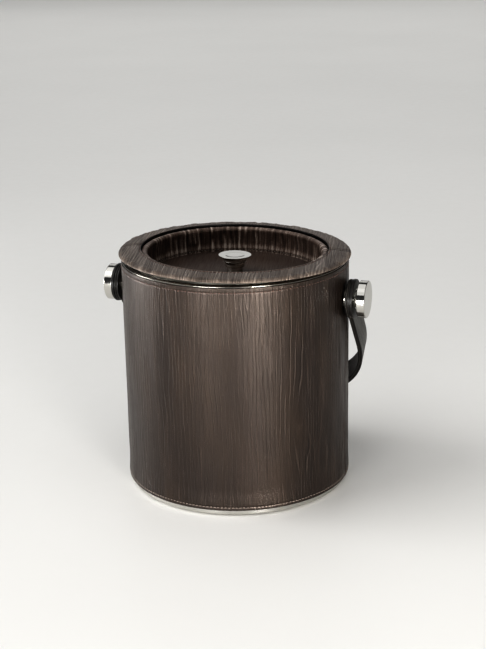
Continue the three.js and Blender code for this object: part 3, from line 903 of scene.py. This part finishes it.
def build_lid_plug():
    """The pressed steel pan that plugs into the tub, and the ribbed seal round it."""
    plate_r = RING_R - 3.6
    plate = 0.95
    inner = PLUG_R - 1
    pan = [
        (0, PLUG_BOTTOM),
        (PLUG_R, PLUG_BOTTOM, 2.4),
        (PLUG_R, plate + 1.4, 0.3),
        (plate_r, plate, 0.3),
        (plate_r, plate + 0.95, 0.3),
        (PLUG_R - 0.7, plate + 2.4, 0.2),
        (inner, plate + 2.2, 0.2),
        (inner, PLUG_BOTTOM + 1, 2),
        (0, PLUG_BOTTOM + 1),
    ]
    lathe("lid_plug", "lid_pan", pan, BRUSHED, "lid", "brushed_steel", LID_PLACE, 224)
    inner, outer = PLUG_R + 0.05, PLUG_R + 1.2
    groove = outer - 0.6
    seal_low, seal_high = -14, -8
    ribs = 3
    gasket = [(inner, seal_low, 0.2)]
    for k in range(ribs):
        z = seal_low + (seal_high - seal_low) * k / ribs
        gasket += [(groove, z + 0.05, 0.1), (outer, z + 1.0, 0.5), (groove, z + 1.9, 0.1)]
    gasket.append((inner, seal_high, 0.2))
    lathe("lid_seal", "lid_gasket", gasket, SILICONE, "lid", "gasket_silicone", LID_PLACE)


def build_recess_floor():
    """The recess floor's leather: laid flat, pressed in round the knob and turned down at the edge."""
    segments, outer = 288, RECESS_R - 1.1
    edge = outer - np.array([1.4, 0.9, 0.5, 0.2, 0.05, 0])
    radius = np.concatenate([np.linspace(0, outer - 2, 56), edge])
    angle = full_turn(segments)[:, None]
    r = radius + 0 * angle
    x, y = np.cos(angle) * r, np.sin(angle) * r
    top = RECESS_FLOOR - quarter_round(outer - r, 0.9)
    top = top + 0.10 * noise(x / 17, y / 17, 90) * smooth((r - 8) / 6) * smooth((outer - r) / 6)
    creases = np.clip(noise(angle * 9 / math.pi + 0 * r, r / 60, 91, 18), 0, 1) ** 2
    top = top + 0.35 * creases * smooth((r - 7.5) / 3) * smooth((26 - r) / 16)
    top = top - 0.35 * smooth((11 - r) / 4) * smooth((r - 5) / 2)
    under = np.full(top[:, :2].shape, RECESS_FLOOR - 1.15)
    lower = np.stack([x[:, [-1, 0]], y[:, [-1, 0]], under], 2)
    points = np.concatenate([np.stack([x, y, top], 2), lower], 1)
    rows = points.shape[1]
    faces = grid_faces(segments, rows, True, True)
    grain_at = np.stack([points[..., 0], points[..., 1], 0 * points[..., 0] + 9], 2)
    tone = np.concatenate([0.3 * creases + 0 * r, 0 * under], 1)
    points = points.reshape(-1, 3)
    attributes = grained(grain_at, tone)
    floor = new_piece("recess_floor", points, faces, [FLOOR_LEATHER], LID_PLACE, attributes=attributes)
    stands_for(floor, "lid", "leather_smooth", "lid_floor_leather")


# ---------------- strap handle


def strap_path():
    """Points along the strap's outer face, from right to left, and how far each lies past the pivot."""
    depth = STRAP_REACH - STRAP_STRAIGHT
    power = 2 / STRAP_ROUNDNESS
    t = np.linspace(0, math.pi / 2, 400)
    across = np.clip(np.cos(t), 0, 1) ** power
    along = np.sin(t) ** power
    curve = np.stack([STRAP_HALF * across, STRAP_STRAIGHT + depth * along], 1)
    right = np.concatenate([[[STRAP_HALF, -STRAP_END_R - 1]], [[STRAP_HALF, 0]], curve])
    left = right[::-1] * [-1, 1]
    path = np.concatenate([right, left[1:]])
    steps = np.linalg.norm(np.diff(path, axis=0), axis=1)
    path = path[np.concatenate([[True], steps > 1e-6])]
    length = np.concatenate([[0], np.cumsum(np.linalg.norm(np.diff(path, axis=0), axis=1))])
    return path, length - STRAP_END_R - 1


def strap_blank(run):
    """The strap cut flat with a pivot hole at 0 and at `run`, as points [along, across] and faces."""
    half = STRAP_WIDTH / 2
    across = np.linspace(-half, half, 31)
    neck = STRAP_END_R + 2
    hole = EYELET_R + 0.15
    facing = np.arctan2(across, neck)
    around = np.concatenate([facing, np.linspace(facing[-1], 2 * math.pi + facing[0], 72)[1:-1]])
    to_band = np.where(np.cos(around) > 1e-6, neck / np.maximum(np.cos(around), 1e-6), np.inf)
    to_side = half / np.maximum(np.abs(np.sin(around)), 1e-9)
    rim = np.maximum(STRAP_END_R, np.where(np.cos(around) > 0, np.minimum(to_band, to_side), 0))
    rings = np.linspace(0, 1, 9)
    flat = []
    faces = []

    def end_plate(centre, heading):
        """Rings of points from a hole out to the round end. Gives those where the band starts."""
        first = len(flat)
        for a, r in zip(around, rim):
            for share in rings:
                reach = hole + (r - hole) * share
                flat.append((centre + heading * math.cos(a) * reach, math.sin(a) * reach))
        faces.extend((first + grid_faces(len(around), len(rings), True, False)).tolist())
        return [first + i * len(rings) + len(rings) - 1 for i in range(len(across))]

    def bridge(row, next_row):
        faces.extend(zip(row, row[1:], next_row[1:], next_row))

    row = end_plate(0, 1)
    last_row = end_plate(run, -1)
    for s in np.linspace(neck, run - neck, round((run - 2 * neck) / 2.2))[1:-1]:
        first = len(flat)
        flat.extend((s, w) for w in across)
        new_row = list(range(first, first + len(across)))
        bridge(row, new_row)
        row = new_row
    bridge(row, last_row)
    return flat, faces


def thick_sheet(name, flat, faces, thickness):
    """The mesh of a flat sheet with its face at z = 0, its thickness below and bevelled edges."""
    mesh = bpy.data.meshes.new(name + "_flat")
    mesh.from_pydata([(s, w, 0) for s, w in flat], [], faces)
    bm = bmesh.new()
    bm.from_mesh(mesh)
    bmesh.ops.recalc_face_normals(bm, faces=bm.faces)
    if sum(f.normal.z for f in bm.faces) < 0:
        bmesh.ops.reverse_faces(bm, faces=bm.faces)
    bm.to_mesh(mesh)
    bm.free()
    sheet = add_object(name + "_flat", mesh)
    solid = sheet.modifiers.new("thickness", "SOLIDIFY")
    solid.thickness = thickness
    solid.offset = -1
    bevel = sheet.modifiers.new("edges", "BEVEL")
    bevel.width = 0.45
    bevel.segments = 3
    bevel.limit_method = "ANGLE"
    bevel.angle_limit = math.radians(60)
    bpy.context.view_layer.update()
    done = bpy.data.meshes.new_from_object(sheet.evaluated_get(bpy.context.evaluated_depsgraph_get()))
    bpy.data.objects.remove(sheet)
    return done


def strap_layer(name, inset, thickness, materials, grain_seed):
    """One layer of the strap, cut flat and then bent along the path."""
    path, length = strap_path()
    flat, faces = strap_blank(length[-1] - STRAP_END_R - 1)
    done = thick_sheet(name, flat, faces, thickness)
    s, w, depth = np.array([v.co for v in done.vertices]).T
    relief, tone = wood_grain(w * 1.3 + 90, s + 100, grain_seed)
    on_face = smooth((depth + 0.05) / 0.05) * smooth((STRAP_WIDTH / 2 - np.abs(w)) / 1.2)
    depth = depth + 0.6 * relief * on_face
    index = np.clip(np.searchsorted(length, s) - 1, 0, len(path) - 2)
    share = ((s - length[index]) / (length[index + 1] - length[index]))[:, None]

    def on_path(values):
        return values[index] * (1 - share) + values[index + 1] * share

    base = on_path(path)
    tangent = on_path(np.gradient(path, axis=0))
    tangent /= np.linalg.norm(tangent, axis=1)[:, None]
    normal = np.stack([tangent[:, 1], -tangent[:, 0]], 1)
    bent = base + normal * (depth - inset)[:, None]
    points = np.column_stack([bent, w])
    normals_z = np.array([p.normal.z for p in done.polygons])
    middle = np.array([p.center.z for p in done.polygons])
    joint_side = middle > -thickness * 0.2 if inset else middle < -thickness * 0.8
    kinds = np.where(np.abs(normals_z) > 0.9, 0, np.where(joint_side & (np.abs(normals_z) > 0.2), 2, 1))
    faces = [list(p.vertices) for p in done.polygons]
    bpy.data.meshes.remove(done)
    grain_at = np.column_stack([w * 1.3, s, 0 * s + grain_seed])
    attributes = {"grain_at": grain_at, "tone_and_painted_light": 1.2 * tone * on_face}
    return new_piece(name, points, faces, materials, HANDLE_PLACE, kinds, attributes)


def build_handle():
    outer = strap_layer("strap_face", 0, STRAP_LAYER, [STRAP_LEATHER, EDGE_PAINT, RAW_EDGE], 30)
    stands_for(outer, "handle", "leather_grained", "strap_outer")
    inner = strap_layer("strap_back", STRAP_INNER_INSET, STRAP_LAYER, [LINING, EDGE_PAINT, RAW_EDGE], 33)
    stands_for(inner, "handle", "leather_lining", "strap_lining")
    for name, side in SIDES.items():
        place = HANDLE_PLACE @ Matrix.Rotation(side * math.pi / 2, 4, "Y")
        start = STRAP_HALF + 0.1
        end = STRAP_HALF + 2.5
        hole = EYELET_R + 0.1
        disc = [(hole, start, 0.2), (END_DISC_R, start, 0.5), (END_DISC_R, end, 0.7), (hole, end, 0.3)]
        disc_name = "end_disc_" + name
        lathe(disc_name, "strap_" + disc_name, disc, EDGE_PAINT, "handle", "leather_grained", place, 128)
        bore = POST_R + 0.35
        low, high = STRAP_HALF - 4, end + 0.05
        eyelet = [(bore, low, 0.2), (EYELET_R, low, 0.3), (EYELET_R, high, 0.3), (bore, high, 0.2)]
        eyelet_name = "eyelet_" + name
        lathe(eyelet_name, "strap_" + eyelet_name, eyelet, POLISHED, "handle", "polished_steel", place, 96)


# ---------------- hidden CAD nodes

KEPT = (
    (BRUSHED, ["outer_shell", "lid_knob_screw", "lid_knob_washer"]),
    (BRUSHED, [f"stud_{part}_{side}" for part in ("inner_washer", "nut") for side in SIDES]),
    (FOAM, ["insulation_sleeve", "insulation_disc", "lid_insulation_ring", "lid_insulation_disc"]),
    (PLASTIC, ["lid_tray"]),
)


def dress_kept_nodes():
    for material, nodes in KEPT:
        for node in nodes:
            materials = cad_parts[node].data.materials
            materials.clear()
            materials.append(material)


# ---------------- studio

CAMERA_TURN = math.radians(18.1)  # how far round to the right the camera stands
CAMERA_DISTANCE = 1.1845
CAMERA_HEIGHT = 0.5233
CAMERA_YAW = math.radians(0.285)
CAMERA_PITCH = math.radians(17.89)
CAMERA_ROLL = math.radians(-1.10)


def build_camera():
    data = bpy.data.cameras.new("camera")
    data.sensor_width = 36
    data.lens = 77.18
    camera = add_object("camera", data)
    heading = CAMERA_YAW - CAMERA_TURN
    ahead = math.cos(CAMERA_PITCH)
    forward = Vector((math.sin(heading) * ahead, math.cos(heading) * ahead, -math.sin(CAMERA_PITCH)))
    level = Vector((math.cos(heading), -math.sin(heading), 0))
    up = level.cross(forward)
    right = math.cos(CAMERA_ROLL) * level + math.sin(CAMERA_ROLL) * up
    top = -math.sin(CAMERA_ROLL) * level + math.cos(CAMERA_ROLL) * up
    place = Matrix((right, top, -forward)).transposed().to_4x4()
    away = Vector((math.sin(CAMERA_TURN), -math.cos(CAMERA_TURN), 0)) * CAMERA_DISTANCE
    place.translation = (away.x, away.y, CAMERA_HEIGHT)
    camera.matrix_world = place
    bpy.context.scene.camera = camera


def towards(azimuth, elevation):
    """A direction from the bucket, in degrees. Azimuth counts from the camera's side, + to its right."""
    turn = math.radians(azimuth) + CAMERA_TURN
    rise = math.radians(elevation)
    return Vector((math.sin(turn) * math.cos(rise), -math.cos(turn) * math.cos(rise), math.sin(rise)))


def add_lamp(name, kind, away, distance, power, colour=(1, 1, 1)):
    data = bpy.data.lights.new(name, kind)
    data.energy = power
    data.color = colour
    lamp = add_object(name, data)
    lamp.location = away * distance + Vector((0, 0, 0.1))
    lamp.rotation_mode = "QUATERNION"
    lamp.rotation_quaternion = away.to_track_quat("Z", "Y")
    return data


def add_sun(name, azimuth, elevation, softness, strength):
    data = add_lamp(name, "SUN", towards(azimuth, elevation), 3, strength)
    data.angle = math.radians(softness)


def add_softbox(name, azimuth, elevation, distance, size, power, colour=(1, 1, 1)):
    """A rectangular area light that faces the bucket."""
    data = add_lamp(name, "AREA", towards(azimuth, elevation), distance, power, colour)
    data.shape = "RECTANGLE"
    data.size, data.size_y = size
    bpy.data.objects[name].visible_camera = False


def build_table():
    half = 40.0  # metres, so that the table fills every view
    mesh = bpy.data.meshes.new("table")
    corners = [(-half, -half, 0), (half, -half, 0), (half, half, 0), (-half, half, 0)]
    mesh.from_pydata(corners, [], [(0, 1, 2, 3)])
    table = add_object("table", mesh)
    look = Look("table_top", Specular_IOR_Level=0.3)
    cloud = look.noise(look.position(), 1.3, 3.0)
    look.give("Base Color", look.mix(cloud, srgb(224, 223, 220), srgb(234, 233, 230)))
    wear = look.noise(look.position(), 60.0, 4.0)
    look.give("Roughness", look.spread(wear, 0.3, 0.7, 0.38, 0.5))
    mesh.materials.append(look.material)


WARM = (1.0, 0.995, 0.985)
WARMER = (1.0, 0.975, 0.94)


def build_light():
    """Two soft suns for the room's daylight, and softboxes in watts that draw the highlights."""
    scene = bpy.context.scene
    scene.view_settings.view_transform = "Standard"
    scene.view_settings.look = "High Contrast"
    world = bpy.data.worlds.new("studio")
    world.use_nodes = True
    scene.world = world
    background = world.node_tree.nodes["Background"]
    background.inputs["Color"].default_value = (0.95, 0.97, 1.0, 1)
    background.inputs["Strength"].default_value = 0.05
    add_sun("key", -86, 42, 45, 0.74)
    add_sun("overhead", -60, 76, 80, 0.98)
    add_softbox("sky", -85, 56, 1.7, (1.5, 1.5), 1.4)
    add_softbox("front", 30, 46, 1.9, (1.6, 1.2), 2.2, WARM)
    add_softbox("back", 180, 25, 5.0, (5.6, 2.6), 25)
    add_softbox("low_right", 21, 1.5, 1.6, (0.4, 0.26), 26, WARMER)
    add_softbox("low_front", -28, 1.5, 1.6, (0.6, 0.26), 15, WARM)
    add_softbox("low_left", -100, 1.5, 1.6, (0.6, 0.26), 13)


build_camera()
build_wrap()
build_metal()
build_studs()
build_lid_leather()
build_recess_floor()
build_lid_knob()
build_lid_plug()
build_handle()
dress_kept_nodes()
build_table()
build_light()
